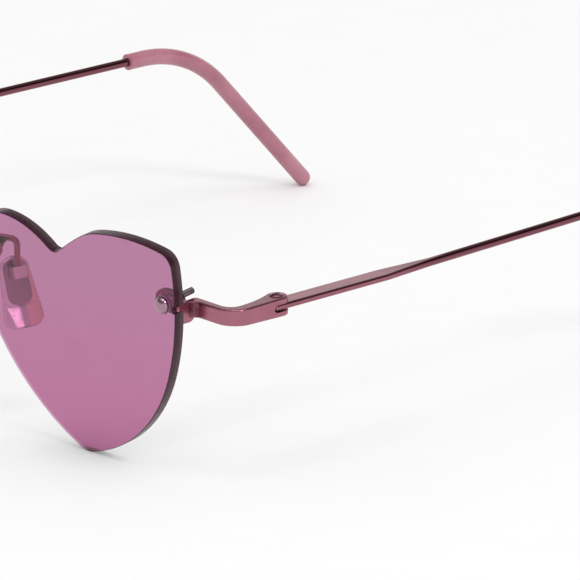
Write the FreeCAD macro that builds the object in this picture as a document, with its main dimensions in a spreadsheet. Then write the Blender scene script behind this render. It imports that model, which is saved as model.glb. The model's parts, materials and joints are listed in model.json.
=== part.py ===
"""Rimless sunglasses with heart shaped lenses, in millimetres.

X points to the wearer's left, Y from the lenses back to the ears and Z up. The pieces of the left half are
modelled and the right half mirrors them. The finished pair stands on its lens tips and temple tips at Z = 0.
"""
import FreeCAD, Part
import math
import os
from collections import namedtuple

import Sketcher
from FreeCAD import Placement, Rotation, Vector

X_AXIS = Vector(1, 0, 0)
Z_AXIS = Vector(0, 0, 1)
FULL_TURN = 360

doc = FreeCAD.newDocument("heart_sunglasses")
sheet = doc.addObject("Spreadsheet::Sheet", "Sizes")

# Driving dimensions: lengths in millimetres, angles in degrees
DRIVING_SIZES = {
    # How the two lenses stand
    "bridge_gap": 12.5,
    "wrap_angle": 2.0,
    "forward_tilt": 7.5,
    # Heart outline, seen from the front on the wearer's left lens
    "lens_width": 58.6,
    "lens_height": 50.2,
    # The outline's places and radii are for a lens of this size, and stretch with the lens
    "drawn_width": 58.6,
    "drawn_height": 50.2,
    "notch_offset": 3.85,
    "notch_drop": 8.05,
    "notch_radius": 2.6,
    "nasal_lobe_drop": 2.7,
    "nasal_shoulder_radius": 10.8,
    "nasal_flank_radius": 54.0,
    "tip_offset": 0.25,
    "tip_radius": 4.6,
    "upper_flank_radius": 50.4,
    "belly_radius": 33.2,
    "flank_start_angle": 6.0,
    "belly_start_angle": -22.5,
    "belly_end_angle": -27.6,
    "corner_inset": 4.05,
    "corner_drop": 4.8,
    "corner_radius": 3.8,
    "crown_radius": 43.4,
    "lobe_offset": 10.8,
    "lobe_drop": 14.0,
    "lobe_radius": 13.45,
    "slope_radius": 53.0,
    # Lens section
    "lens_thickness": 2.45,
    "lens_curve_radius": 350.0,
    "lens_bevel": 0.2,
    # Holes and edge notches that the fittings use
    "hole_height": 13.2,
    "hole_edge_distance": 3.0,
    "lens_hole_diameter": 2.0,
    "edge_notch_depth": 0.85,
    "edge_notch_width": 1.45,
    "edge_notch_drop": 1.0,
    # Lens screws, bushes, washers and nuts
    "screw_diameter": 1.4,
    "screw_head_diameter": 3.2,
    "screw_head_rim": 0.3,
    "screw_head_height": 1.45,
    "temporal_screw_length": 8.8,
    "bridge_screw_length": 6.0,
    "thread_pitch": 0.32,
    "thread_depth": 0.1,
    "washer_diameter": 3.9,
    "washer_thickness": 0.25,
    "flange_diameter": 3.6,
    "flange_thickness": 0.3,
    "nut_width": 2.3,
    "nut_thickness": 1.2,
    "fit_clearance": 0.03,
    "seat_clearance": 0.02,
    # Feet behind the lenses
    "foot_thickness": 1.0,
    "foot_radius": 2.4,
    "foot_drop": 0.6,
    "foot_outset": 0.5,
    "endpiece_foot_reach": 2.1,
    "bridge_foot_reach": -0.3,
    "hook_clearance": 0.1,
    "hook_setback": 1.4,
    "nut_relief": 0.15,
    # Endpiece arm, measured from the outer lens hole
    "arm_height": 3.9,
    "arm_thickness": 1.95,
    "arm_drop": 1.75,
    "arm_setback": 6.7,
    "arm_reach": 13.3,
    "arm_corner_radius": 4.8,
    "arm_side_thickness": 2.8,
    "arm_inner_radius": 2.6,
    "arm_edge_radius": 0.4,
    "top_fall_angle": 2.2,
    "root_outset": 1.8,
    "root_width": 1.7,
    "root_round": 0.8,
    "neck_radius": 1.75,
    "root_drop": 0.85,
    "root_heel_radius": 1.6,
    # Hinge
    "hinge_reach": 11.35,
    "hinge_setback": 20.05,
    "hinge_radius": 2.3,
    "flare_start": 0.7,
    "hinge_slot_depth": 2.45,
    "hinge_slot_clearance": 0.06,
    "hinge_slot_underplay": 0.2,
    "hinge_screw_diameter": 1.4,
    "hinge_head_diameter": 3.0,
    "hinge_head_height": 0.75,
    "hinge_head_sink": 0.3,
    "hinge_head_clearance": 0.08,
    "driver_slot_width": 0.45,
    "driver_slot_depth": 0.4,
    # Temple blade, wire and ear end
    "blade_width": 4.3,
    "blade_corner_radius": 0.8,
    "blade_thickness": 1.28,
    "blade_edge_radius": 0.5,
    "blade_length": 28.7,
    "taper_length": 12.5,
    "flat_run_out": 6.0,
    "wire_diameter": 1.75,
    "converge_angle": 2.7,
    "bend_distance": 93.5,
    "bend_radius": 28.0,
    "bend_angle": 48.0,
    "sleeve_diameter": 3.4,
    "sleeve_lead": 4.0,
    "sleeve_cap": 4.0,
    # Bridge bar
    "bar_end_inset": 1.6,
    "bar_rise": 2.2,
    "bar_height": 2.2,
    "bar_depth": 1.6,
    "bar_edge_radius": 0.4,
    "bar_sink": 0.15,
    # Nose pads: where the pad's lug leaves its back, measured from the inner lens hole
    "pad_inset": 1.1,
    "pad_setback": 10.15,
    "pad_hang": 7.5,
    "pad_splay_angle": 26.0,
    "pad_lean_angle": 15.0,
    "pad_pitch_angle": 7.0,
    "pad_rise": 3.2,
    "pad_drop": 11.6,
    "pad_top_width": 6.0,
    "pad_bottom_width": 8.4,
    "pad_top_radius": 2.6,
    "pad_bottom_radius": 2.4,
    "pad_thickness": 2.8,
    "pad_face_radius": 1.2,
    "pad_back_radius": 0.5,
    "core_thickness": 0.6,
    "core_width": 5.0,
    "core_height": 9.2,
    "core_drop": 2.1,
    "core_corner_radius": 1.9,
    "core_clearance": 0.05,
    "lug_width": 1.4,
    "lug_height": 2.0,
    "lug_axis_distance": 1.3,
    # Pad box, its screw and its wire arm
    "box_wall": 0.6,
    "box_floor": 1.3,
    "box_height": 2.4,
    "box_gap": 0.35,
    "box_floor_gap": 0.2,
    "lug_clearance": 0.1,
    "pad_screw_diameter": 0.9,
    "pad_screw_head_diameter": 1.6,
    "pad_screw_head_height": 0.5,
    "pad_wire_diameter": 1.25,
    "pad_wire_inset": 1.0,
    "pad_wire_lead": 1.5,
    "pad_wire_stub": 1.4,
    "pad_wire_rise": 4.3,
    "pad_wire_bend_radius": 1.5,
}
for row, (alias, number) in enumerate(DRIVING_SIZES.items(), start=1):
    sheet.set("A%d" % row, alias)
    sheet.set("B%d" % row, str(number))
    sheet.setAlias("B%d" % row, alias)
doc.recompute()


def size(alias):
    """The number in the cell with this alias."""
    return float(sheet.get(alias))


def bound(*aliases):
    """The expression that adds up these cells."""
    return " + ".join("Sizes." + alias for alias in aliases)


# Document helpers

def shift(x=0.0, y=0.0, z=0.0):
    return Placement(Vector(x, y, z), Rotation())


def origin_plane(body, role):
    return next(plane for plane in body.Origin.OriginFeatures if plane.Role == role)


def new_body(label, place=Placement()):
    body = doc.addObject("PartDesign::Body", label)
    body.Label = label
    body.Placement = place
    return body


def new_sketch(body, edges, offset=Placement(), role="XY_Plane"):
    """Sketch with these edges on one of the body's origin planes, moved by the offset."""
    sketch = body.newObject("Sketcher::SketchObject", body.Label + "_sketch")
    sketch.AttachmentSupport = [(origin_plane(body, role), "")]
    sketch.MapMode = "FlatFace"
    sketch.AttachmentOffset = offset
    sketch.addGeometry(edges, False)
    return sketch


def round_sketch(body, radius, offset, role="XY_Plane"):
    """Circle about the sketch's origin whose radius is bound to an expression."""
    centre_of_sketch = (-1, 1)
    sketch = new_sketch(body, [Part.Circle(Vector(), Z_AXIS, 1)], offset, role)
    sketch.addConstraint(Sketcher.Constraint("Coincident", 0, 3, *centre_of_sketch))
    sketch.addConstraint(Sketcher.Constraint("Radius", 0, 1))
    sketch.setExpression("Constraints[1]", radius)
    return sketch


def extrude(body, kind, sketch, length, backwards=False, both_ways=False):
    """Pad or Pocket from a sketch, its length bound to an expression."""
    feature = body.newObject("PartDesign::" + kind, body.Label + "_" + kind.lower())
    feature.Profile = sketch
    feature.setExpression("Length", length)
    feature.Reversed = backwards
    feature.Midplane = both_ways
    return feature


def revolve(body, kind, edges):
    """Revolution or Groove of a profile drawn as radius and height, about the body's Z axis."""
    sketch = new_sketch(body, edges, role="XZ_Plane")
    feature = body.newObject("PartDesign::" + kind, body.Label + "_" + kind.lower())
    feature.Profile = sketch
    feature.ReferenceAxis = (sketch, ["V_Axis"])
    feature.Angle = FULL_TURN
    return feature


def dress(body, kind, base, edges, expression):
    """Fillet or Chamfer on edges of the last feature, its size bound to an expression."""
    feature = body.newObject("PartDesign::" + kind, body.Label + "_" + kind.lower())
    feature.Base = (base, edges)
    feature.setExpression("Radius" if kind == "Fillet" else "Size", expression)
    return feature


def edges_where(feature, test, middle_test=lambda place: True):
    """Names of a feature's edges whose ends and middle pass a test, and whose middle passes another."""
    doc.recompute()
    names = []
    for number, edge in enumerate(feature.Shape.Edges, start=1):
        first, last = edge.ParameterRange
        start, middle, end = (edge.valueAt(first + (last - first) * share) for share in (0, 0.5, 1))
        if test(start) and test(middle) and test(end) and middle_test(middle):
            names.append("Edge%d" % number)
    return names


def cylinder(name, radius, height, place=Placement()):
    piece = doc.addObject("Part::Cylinder", name)
    piece.setExpression("Radius", radius)
    piece.setExpression("Height", height)
    piece.Placement = place
    return piece


def cut(label, base, tool, place=Placement()):
    piece = doc.addObject("Part::Cut", label)
    piece.Label = label
    piece.Base = base
    piece.Tool = tool
    piece.Placement = place
    return piece


# Outline helpers

Ring = namedtuple("Ring", "centre radius")


def point(x, y):
    return Vector(x, y, 0)


def polygon(corners):
    """Closed run of straight edges."""
    return [Part.LineSegment(a, b) for a, b in zip(corners, corners[1:] + corners[:1])]


def run(*points):
    """Open run of straight edges."""
    return [Part.LineSegment(a, b) for a, b in zip(points, points[1:])]


def rectangle(x_low, x_high, y_low, y_high):
    return polygon([point(x_low, y_low), point(x_high, y_low), point(x_high, y_high), point(x_low, y_high)])


def bend_at(before, corner_point, after, radius):
    """The arc of this radius that rounds a corner, as its start, middle and end."""
    back = (before - corner_point).normalize()
    ahead = (after - corner_point).normalize()
    half_angle = back.getAngle(ahead) / 2
    trim = radius / math.tan(half_angle)
    middle = corner_point + (back + ahead).normalize() * (radius / math.sin(half_angle) - radius)
    return corner_point + back * trim, middle, corner_point + ahead * trim


def rounded(corners, radii):
    """Closed outline through corners that are each rounded to a radius."""
    befores, afters = corners[-1:] + corners[:-1], corners[1:] + corners[:1]
    bends = [bend_at(*corner_and_radius) for corner_and_radius in zip(befores, corners, afters, radii)]
    arcs = [Part.Arc(*bend) for bend in bends]
    sides = [Part.LineSegment(bend[2], following[0]) for bend, following in zip(bends, bends[1:] + bends[:1])]
    return arcs + sides


def arc(ring, start, end):
    """The shorter arc of a ring between two of its points."""
    half_way = (start - ring.centre) + (end - ring.centre)
    return Part.Arc(start, ring.centre + half_way.normalize() * ring.radius, end)


def crossing(first, first_reach, second, second_reach, side):
    """Point at given distances from two others, left (1) or right (-1) of the way between them."""
    way = second - first
    along = (first_reach ** 2 - second_reach ** 2 + way.Length ** 2) / (2 * way.Length)
    across = math.sqrt(first_reach ** 2 - along ** 2)
    way.normalize()
    return first + way * along + point(-way.y, way.x) * (side * across)


def joining(first, second, radius):
    """Ring that holds two smaller rings and touches both, for an outline run clockwise."""
    centre = crossing(first.centre, radius - first.radius, second.centre, radius - second.radius, -1)
    return Ring(centre, radius)


def touch(ring, other):
    """Point of the first ring on the line through both centres, on the side where the rings touch."""
    way = other.centre - ring.centre
    inside_other = ring.radius < other.radius and way.Length < other.radius
    return ring.centre + way.normalize() * (-ring.radius if inside_other else ring.radius)


def side_touches(first, second):
    """Where a straight side touches two rings, on the right of the way from the first to the second."""
    way = second.centre - first.centre
    lean = math.asin((first.radius - second.radius) / way.Length)
    way.normalize()
    square = point(way.y, -way.x) * math.cos(lean) + way * math.sin(lean)
    return first.centre + square * first.radius, second.centre + square * second.radius


def stadium(first, second, radius):
    """Outline of two equal half circles joined by straight sides, along the sketch's x axis."""
    up = point(0, radius)
    left = Part.Arc(first - up, first - point(radius, 0), first + up)
    right = Part.Arc(second + up, second + point(radius, 0), second - up)
    return [left, Part.LineSegment(first + up, second + up), right, Part.LineSegment(second - up, first - up)]


# Heart outline of the left lens: rings joined by tangent arcs, clockwise from the notch

half_width = size("lens_width") / 2
half_height = size("lens_height") / 2
widening = size("lens_width") / size("drawn_width")
heightening = size("lens_height") / size("drawn_height")


def across(alias):
    """A distance along the lens's width, stretched with it."""
    return size(alias) * widening


def down(alias):
    """A distance along the lens's height, stretched with it."""
    return size(alias) * heightening


def around(alias):
    """A radius of the outline, stretched with the lens."""
    return size(alias) * math.sqrt(widening * heightening)


def way_at(alias):
    """Unit step at an angle from the sketch's x axis."""
    angle = math.radians(size(alias))
    return point(math.cos(angle), math.sin(angle))


def rolling(ring, angle_alias, radius):
    """Ring of another radius that touches a ring at an angle and bends the same way."""
    return Ring(ring.centre + way_at(angle_alias) * (ring.radius - radius), radius)


notch = point(-across("notch_offset"), half_height - down("notch_drop"))
shoulder_x = around("nasal_shoulder_radius") - half_width
nasal_peak = point(shoulder_x, half_height - down("nasal_lobe_drop"))
nasal_rise = nasal_peak.y - notch.y
nasal_crown_radius = ((notch.x - shoulder_x) ** 2 + nasal_rise ** 2) / (2 * nasal_rise)

lobe = Ring(point(across("lobe_offset"), half_height - down("lobe_drop")), around("lobe_radius"))
corner_centre = point(half_width - across("corner_inset"), half_height - down("corner_drop"))
corner = Ring(corner_centre, around("corner_radius"))
tip = Ring(point(-across("tip_offset"), around("tip_radius") - half_height), around("tip_radius"))
shoulder = Ring(nasal_peak - point(0, around("nasal_shoulder_radius")), around("nasal_shoulder_radius"))
nasal_crown = Ring(nasal_peak - point(0, nasal_crown_radius), nasal_crown_radius)

slope_reach = around("slope_radius")
slope_centre = crossing(notch, slope_reach, lobe.centre, slope_reach - lobe.radius, -1)
slope = Ring(slope_centre, slope_reach)
crown = joining(lobe, corner, around("crown_radius"))
upper_flank = rolling(corner, "flank_start_angle", around("upper_flank_radius"))
belly = rolling(upper_flank, "belly_start_angle", around("belly_radius"))
belly_way = way_at("belly_end_angle")
tip_to_belly = belly.centre + belly_way * belly.radius - tip.centre
lower_flank_radius = ((tip_to_belly.Length ** 2 - tip.radius ** 2)
                      / (2 * (tip_to_belly.dot(belly_way) - tip.radius)))
lower_flank = rolling(belly, "belly_end_angle", lower_flank_radius)
nasal_flank = joining(tip, shoulder, around("nasal_flank_radius"))

fillet_radius = around("notch_radius")
fillet_centre = crossing(nasal_crown.centre, nasal_crown_radius + fillet_radius,
                         slope_centre, slope_reach + fillet_radius, 1)
notch_fillet = Ring(fillet_centre, fillet_radius)

convex_rings = [slope, lobe, crown, corner, upper_flank, belly, lower_flank, tip, nasal_flank, shoulder]
joints = [touch(notch_fillet, slope)]
joints += [touch(min(pair, key=lambda ring: ring.radius), max(pair, key=lambda ring: ring.radius))
           for pair in zip(convex_rings, convex_rings[1:])]
joints += [nasal_peak, touch(notch_fillet, nasal_crown)]
heart_rings = convex_rings + [nasal_crown, notch_fillet]
heart_outline = [arc(ring, start, end) for ring, start, end in zip(heart_rings, joints, joints[1:] + joints[:1])]

# Places of the lens and of the screws on its curved front

wrap_turn = Rotation(Z_AXIS, size("wrap_angle"))
lens_turn = wrap_turn * Rotation(X_AXIS, 90 + size("forward_tilt"))
lens_x = size("bridge_gap") / 2 + half_width * math.cos(math.radians(size("wrap_angle")))
lens_place = Placement(Vector(lens_x, 0, 0), lens_turn)


def sag(distance, radius):
    """How far a ball of this radius falls away at a distance from its top."""
    return radius - math.sqrt(radius ** 2 - distance ** 2)


def lens_seat(x, y):
    """Place on the front of the lens: Z along its normal to the front, X away from the nose."""
    radius = size("lens_curve_radius")
    normal = Vector(x, y, math.sqrt(radius ** 2 - x ** 2 - y ** 2)) * (1 / radius)
    across = (X_AXIS - normal * normal.x).normalize()
    return Placement(normal * radius - Z_AXIS * radius, Rotation(across, normal.cross(across), normal, "ZXY"))


hole_y = down("hole_height")
outer_edge = upper_flank.centre.x + math.sqrt(upper_flank.radius ** 2 - (hole_y - upper_flank.centre.y) ** 2)
inner_edge = shoulder.centre.x - math.sqrt(shoulder.radius ** 2 - (hole_y - shoulder.centre.y) ** 2)
temporal_seat = lens_seat(outer_edge - size("hole_edge_distance"), hole_y)
nasal_seat = lens_seat(inner_edge + size("hole_edge_distance"), hole_y)
temporal_place = lens_place * temporal_seat
nasal_place = lens_place * nasal_seat
OUTWARDS, INWARDS = 1, -1

# Depths behind the lens front, along a screw
flange_front = size("lens_thickness") + size("seat_clearance")
foot_front = flange_front + size("flange_thickness")
foot_back = foot_front + size("foot_thickness")
nut_back = foot_back + size("nut_thickness")


# Lenses

def build_lens(label):
    """Heart cut from a curved sheet, bevelled in front, drilled and notched at both sides."""
    front_radius = size("lens_curve_radius")
    thickness = size("lens_thickness")
    back_radius = front_radius - thickness
    blank_reach = half_width + half_height
    blank_front = size("lens_bevel") + 1
    blank_back = thickness + sag(blank_reach, back_radius)

    body = new_body(label, lens_place)
    outline = new_sketch(body, heart_outline, shift(z=blank_front))
    blank = extrude(body, "Pad", outline, "%f + Sizes.lens_bevel" % (blank_front + blank_back), backwards=True)

    def dome(radius, top, limit):
        """Profile between a ball's surface and a level line, from the axis out to the blank's reach."""
        ball = Ring(point(0, top - radius), radius)
        axis_point = point(0, top)
        rim = point(blank_reach, top - sag(blank_reach, radius))
        return [arc(ball, axis_point, rim)] + run(rim, point(blank_reach, limit), point(0, limit), axis_point)

    revolve(body, "Groove", dome(front_radius, 0, blank_front + 1))
    shaped = revolve(body, "Groove", dome(back_radius, -thickness, -2 * blank_back))

    front_ball = Vector(0, 0, -front_radius)
    front_edges = edges_where(shaped, lambda place: abs((place - front_ball).Length - front_radius) < 1e-4)
    dress(body, "Chamfer", shaped, front_edges, bound("lens_bevel"))

    through = bound("lens_thickness", "lens_thickness")
    for seat, way in ((temporal_seat, OUTWARDS), (nasal_seat, INWARDS)):
        above = seat * shift(z=thickness / 2)
        extrude(body, "Pocket", round_sketch(body, "Sizes.lens_hole_diameter / 2", above), through)
        notch_floor = way * (size("hole_edge_distance") - size("edge_notch_depth"))
        notch_mouth = notch_floor + way * 3 * size("edge_notch_depth")
        half_notch = size("edge_notch_width") / 2
        drop = size("edge_notch_drop")
        slot = rectangle(notch_floor, notch_mouth, -drop - half_notch, -drop + half_notch)
        extrude(body, "Pocket", new_sketch(body, slot, above), through)
    return body


# Lens fittings: everything that one screw clamps

def build_screw(label, place, length_alias):
    """Domed screw; the stretch behind the nut shows its thread."""
    shank = size("screw_diameter") / 2
    root = shank - size("thread_depth")
    pitch = size("thread_pitch")
    head = size("screw_head_diameter") / 2
    under_head = size("washer_thickness")
    rim_top = under_head + size("screw_head_rim")
    dome_top = under_head + size("screw_head_height")
    end = -size(length_alias)
    turns = int((-nut_back - end) / pitch)

    side = [point(0, end), point(root, end)]
    for turn in range(turns):
        side += [point(shank, end + (turn + 0.5) * pitch), point(root, end + (turn + 1) * pitch)]
    thread_top = end + (turns + 0.5) * pitch
    side += [point(shank, thread_top), point(shank, under_head), point(head, under_head), point(head, rim_top)]
    dome_height = dome_top - rim_top
    dome_radius = (head ** 2 + dome_height ** 2) / (2 * dome_height)
    dome = arc(Ring(point(0, dome_top - dome_radius), dome_radius), side[-1], point(0, dome_top))
    body = new_body(label, place)
    revolve(body, "Revolution", run(*side) + [dome] + run(point(0, dome_top), side[0]))
    return body


def build_washer(label, place):
    disc = cylinder(label + "_disc", "Sizes.washer_diameter / 2", bound("washer_thickness"))
    bore = cylinder(label + "_bore", "Sizes.screw_diameter / 2 + Sizes.fit_clearance", bound("washer_thickness"))
    return cut(label, disc, bore, place)


def build_bush(label, place):
    """Plastic top hat: the sleeve lines the lens hole and the flange parts the lens from the foot."""
    bore = size("screw_diameter") / 2 + size("fit_clearance")
    sleeve = size("lens_hole_diameter") / 2 - size("fit_clearance")
    flange = size("flange_diameter") / 2
    front = -size("seat_clearance")
    profile = polygon([point(bore, -foot_front), point(flange, -foot_front), point(flange, -flange_front),
                       point(sleeve, -flange_front), point(sleeve, front), point(bore, front)])
    body = new_body(label, place)
    revolve(body, "Revolution", profile)
    return body


def build_nut(label, place):
    """Hexagon nut against the back of the foot."""
    hexagon = doc.addObject("Part::Prism", label + "_hexagon")
    hexagon.Polygon = 6
    hexagon.setExpression("Circumradius", "Sizes.nut_width / sqrt(3)")
    hexagon.setExpression("Height", bound("nut_thickness"))
    bore = cylinder(label + "_bore", "Sizes.screw_diameter / 2 + Sizes.fit_clearance", bound("nut_thickness"))
    return cut(label, hexagon, bore, place * shift(z=-nut_back))


# Feet: plates behind a lens, shared by the endpieces and the bridge

def add_foot(body, place, way, reach):
    """Oval plate behind the lens with a hook that enters the lens's edge notch."""
    behind_flange = place * shift(y=-size("foot_drop"), z=-foot_front)
    ends = sorted((-way * reach, way * size("foot_outset")))
    oval = stadium(point(ends[0], 0), point(ends[1], 0), size("foot_radius"))
    plate = extrude(body, "Pad", new_sketch(body, oval, behind_flange), bound("foot_thickness"), backwards=True)

    clearance = size("hook_clearance")
    hook_floor = way * (size("hole_edge_distance") - size("edge_notch_depth") + clearance)
    hook_end = way * (size("hole_edge_distance") - clearance)
    half_hook = size("edge_notch_width") / 2 - clearance
    drop = size("edge_notch_drop")
    block = rectangle(hook_floor, hook_end, -drop - half_hook, -drop + half_hook)
    hook_length = "%f - Sizes.hook_setback" % foot_back
    hook = extrude(body, "Pad", new_sketch(body, block, place * shift(z=-foot_back)), hook_length)
    return [plate, hook]


def add_screw_hole(body, place):
    """Clearance hole for the lens screw through a foot."""
    radius = "Sizes.screw_diameter / 2 + Sizes.fit_clearance"
    return extrude(body, "Pocket", round_sketch(body, radius, place), "%f + Sizes.foot_thickness" % foot_back)


# Endpieces

hole = temporal_place.Base
arm_mid = hole.z - size("arm_drop")
hinge_centre = point(size("hinge_reach"), size("hinge_setback"))
hinge_point = Vector(hole.x + hinge_centre.x, hole.y + hinge_centre.y, arm_mid)


def plate_depth(x, z):
    """How far behind the hole the middle of the foot plate lies, at a place beside and above the hole."""
    normal = temporal_place.Rotation.multVec(Z_AXIS)
    return -((foot_front + foot_back) / 2 + normal.x * x + normal.z * z) / normal.y


def arm_outline():
    """Plan of the arm: root behind the lens, run outwards, bend and round hinge end."""
    reach, setback = size("arm_reach"), size("arm_setback")
    thick, bend = size("arm_thickness"), size("arm_corner_radius")
    outer, inner = size("root_outset"), size("root_outset") - size("root_width")
    neck, rounding = size("neck_radius"), size("root_round")
    root_front = [point(x, plate_depth(x, -size("arm_drop"))) for x in (inner, outer)]
    neck_ring = Ring(point(outer + neck, setback - neck), neck)
    outer_bend = Ring(point(reach - bend, setback + bend), bend)
    inside, inner_radius = reach - size("arm_side_thickness"), size("arm_inner_radius")
    inner_bend = Ring(point(inside - inner_radius, setback + thick + inner_radius), inner_radius)
    hinge = Ring(hinge_centre, size("hinge_radius"))
    flare_y = setback + bend + size("flare_start")
    behind, beside = hinge_centre.y - flare_y, hinge_centre.x - inside
    flare_radius = (behind ** 2 + beside ** 2 - hinge.radius ** 2) / (2 * (hinge.radius - beside))
    flare = Ring(point(inside - flare_radius, flare_y), flare_radius)
    back_corner = Ring(point(inner + rounding, setback + thick - rounding), rounding)

    neck_start, neck_end = point(outer, setback - neck), point(outer + neck, setback)
    bend_start, flare_end = point(reach - bend, setback), point(inside, flare_y)
    bend_end, hinge_start = side_touches(outer_bend, hinge)
    hinge_end = touch(hinge, flare)
    hinge_back = hinge_centre - (hinge_start + hinge_end - hinge_centre * 2).normalize() * hinge.radius
    inner_start, inner_end = point(inside, inner_bend.centre.y), point(inner_bend.centre.x, setback + thick)
    corner_start, corner_end = point(inner + rounding, setback + thick), point(inner, back_corner.centre.y)
    return (run(*root_front, neck_start)
            + [arc(neck_ring, neck_start, neck_end)] + run(neck_end, bend_start)
            + [arc(outer_bend, bend_start, bend_end)] + run(bend_end, hinge_start)
            + [Part.Arc(hinge_start, hinge_back, hinge_end), arc(flare, hinge_end, flare_end)]
            + run(flare_end, inner_start) + [arc(inner_bend, inner_start, inner_end)]
            + run(inner_end, corner_start) + [arc(back_corner, corner_start, corner_end)]
            + run(corner_end, root_front[0]))


def heel_outline(arm_low):
    """Side view of the root below the arm, from the foot plate back to a rounded heel."""
    drop, radius = size("root_drop"), size("root_heel_radius")
    inner = size("root_outset") - size("root_width")
    heel_run = math.sqrt(radius ** 2 - (radius - drop) ** 2)
    heel = Ring(point(size("arm_setback") - heel_run, arm_low - drop + radius), radius)
    high, low = arm_low + size("arm_edge_radius"), arm_low - drop
    front = [point(plate_depth(inner, level), level) for level in (high, low)]
    heel_start, heel_end = point(heel.centre.x, low), point(size("arm_setback"), arm_low)
    back = point(heel_end.x, high)
    return run(*front, heel_start) + [arc(heel, heel_start, heel_end)] + run(heel_end, back, front[0])


def build_endpiece(label):
    """Foot, neck, bent arm and slotted hinge end, as one piece of metal."""
    height = size("arm_height")
    low, high = arm_mid - height / 2, arm_mid + height / 2
    body = new_body(label)
    plan = new_sketch(body, arm_outline(), shift(hole.x, hole.y, low))
    extrude(body, "Pad", plan, "1.5 * Sizes.arm_height")
    free_start = hole.y + size("arm_setback") - size("neck_radius") - size("arm_edge_radius")
    fall = math.tan(math.radians(size("top_fall_angle")))
    turn = Rotation(X_AXIS, size("top_fall_angle"))
    top_place = Placement(Vector(hinge_point.x, hinge_point.y, high), turn)
    span = 3 * size("hinge_setback")
    over_arm = new_sketch(body, rectangle(-span, span, -span, span), top_place)
    arm = extrude(body, "Pocket", over_arm, "2 * Sizes.arm_height", backwards=True)
    rims = edges_where(arm, lambda place: min(abs(place.z - low),
                                              abs(place.z - high - (place.y - hinge_point.y) * fall)) < 1e-6
                       and place.y > free_start)
    dress(body, "Fillet", arm, rims, bound("arm_edge_radius"))

    root_side = shift(hole.y, hole.z, hole.x + size("root_outset") - size("root_width"))
    heel = new_sketch(body, heel_outline(low - hole.z), root_side, "YZ_Plane")
    extrude(body, "Pad", heel, bound("root_width"))
    add_foot(body, temporal_place, OUTWARDS, size("endpiece_foot_reach"))
    relief = "Sizes.nut_width / sqrt(3) + Sizes.nut_relief"
    behind_foot = temporal_place * shift(z=-foot_back)
    extrude(body, "Pocket", round_sketch(body, relief, behind_foot), bound("temporal_screw_length"))
    add_screw_hole(body, temporal_place)

    slot_top = size("blade_thickness") / 2 + size("hinge_slot_clearance")
    slot_bottom = -slot_top - size("hinge_slot_underplay")
    slot_end = Ring(point(0, (slot_top + slot_bottom) / 2), (slot_top - slot_bottom) / 2)
    front, back = slot_end.radius - size("hinge_slot_depth"), 2 * size("hinge_radius")
    slot = run(point(front, slot_top), point(back, slot_top), point(back, slot_bottom), point(front, slot_bottom))
    slot_nose = point(front - slot_end.radius, slot_end.centre.y)
    slot.append(Part.Arc(point(front, slot_bottom), slot_nose, point(front, slot_top)))
    beside = shift(hinge_point.y, hinge_point.z, hinge_point.x + 2 * size("hinge_radius"))
    slot_sketch = new_sketch(body, slot, beside, "YZ_Plane")
    extrude(body, "Pocket", slot_sketch, "4 * Sizes.hinge_radius")

    over_hinge = shift(hinge_point.x, hinge_point.y, high + size("hinge_head_height"))
    shank = round_sketch(body, "Sizes.hinge_screw_diameter / 2 + Sizes.fit_clearance", over_hinge)
    extrude(body, "Pocket", shank, bound("arm_height", "hinge_head_height"))
    sink = round_sketch(body, "Sizes.hinge_head_diameter / 2 + Sizes.hinge_head_clearance", over_hinge)
    extrude(body, "Pocket", sink, bound("hinge_head_sink", "hinge_head_height"))
    return body


def build_hinge_screw(label):
    """Low slotted screw that the temple turns on, sunk into the top of the hinge."""
    top = size("arm_height") / 2 - size("hinge_head_sink")
    head, shank = size("hinge_head_diameter") / 2, size("hinge_screw_diameter") / 2
    crown_height = size("hinge_head_height")
    rim = point(head, top + crown_height / 2)
    crown_top = point(0, top + crown_height)
    crown_rise = crown_top.y - rim.y
    crown_ball = (head ** 2 + crown_rise ** 2) / (2 * crown_rise)
    side = [point(0, -size("arm_height") / 2), point(shank, -size("arm_height") / 2), point(shank, top),
            point(head, top), rim]
    crown_arc = arc(Ring(point(0, crown_top.y - crown_ball), crown_ball), rim, crown_top)
    body = new_body(label, Placement(hinge_point, Rotation()))
    revolve(body, "Revolution", run(*side) + [crown_arc] + run(crown_top, side[0]))
    half_slot = size("driver_slot_width") / 2
    slot = new_sketch(body, rectangle(-half_slot, half_slot, -head, head), shift(z=crown_top.y))
    extrude(body, "Pocket", slot, bound("driver_slot_depth"))
    return body


# Temples

converge = math.radians(size("converge_angle"))
wire_start = Vector(0, size("blade_length") + size("taper_length"), 0)
wire_way = Vector(-math.sin(converge), math.cos(converge), 0)
bend = math.radians(size("bend_angle"))
lens_floor = ((tip.centre.y - tip.radius) * math.cos(math.radians(size("forward_tilt")))
              + (sag(half_height, size("lens_curve_radius")) + size("lens_bevel"))
              * math.sin(math.radians(size("forward_tilt"))))
ear_drop = arm_mid - lens_floor - size("sleeve_diameter") / 2
ear_length = (ear_drop - size("bend_radius") * (1 - math.cos(bend))) / math.sin(bend)
straight_length = size("bend_distance") - wire_start.y
temple_place = Placement(hinge_point, Rotation())
wire_plane = Placement(wire_start, Rotation(wire_way, Z_AXIS, wire_way.cross(Z_AXIS), "ZXY"))
wire_section = Placement(wire_start, Rotation(wire_way.cross(Z_AXIS), Z_AXIS, wire_way * -1, "ZXY"))


def ear_path(start, shortfall):
    """Line of the wire in its upright plane: straight, bend over the ear, then down."""
    radius = size("bend_radius")
    bend_start = point(straight_length, 0)
    bend_ring = Ring(point(straight_length, -radius), radius)
    bend_end = bend_ring.centre + point(math.sin(bend), math.cos(bend)) * radius
    end = bend_end + point(math.cos(bend), -math.sin(bend)) * (ear_length - shortfall)
    return (run(point(start, 0), bend_start) + [arc(bend_ring, bend_start, bend_end)] + run(bend_end, end))


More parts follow.
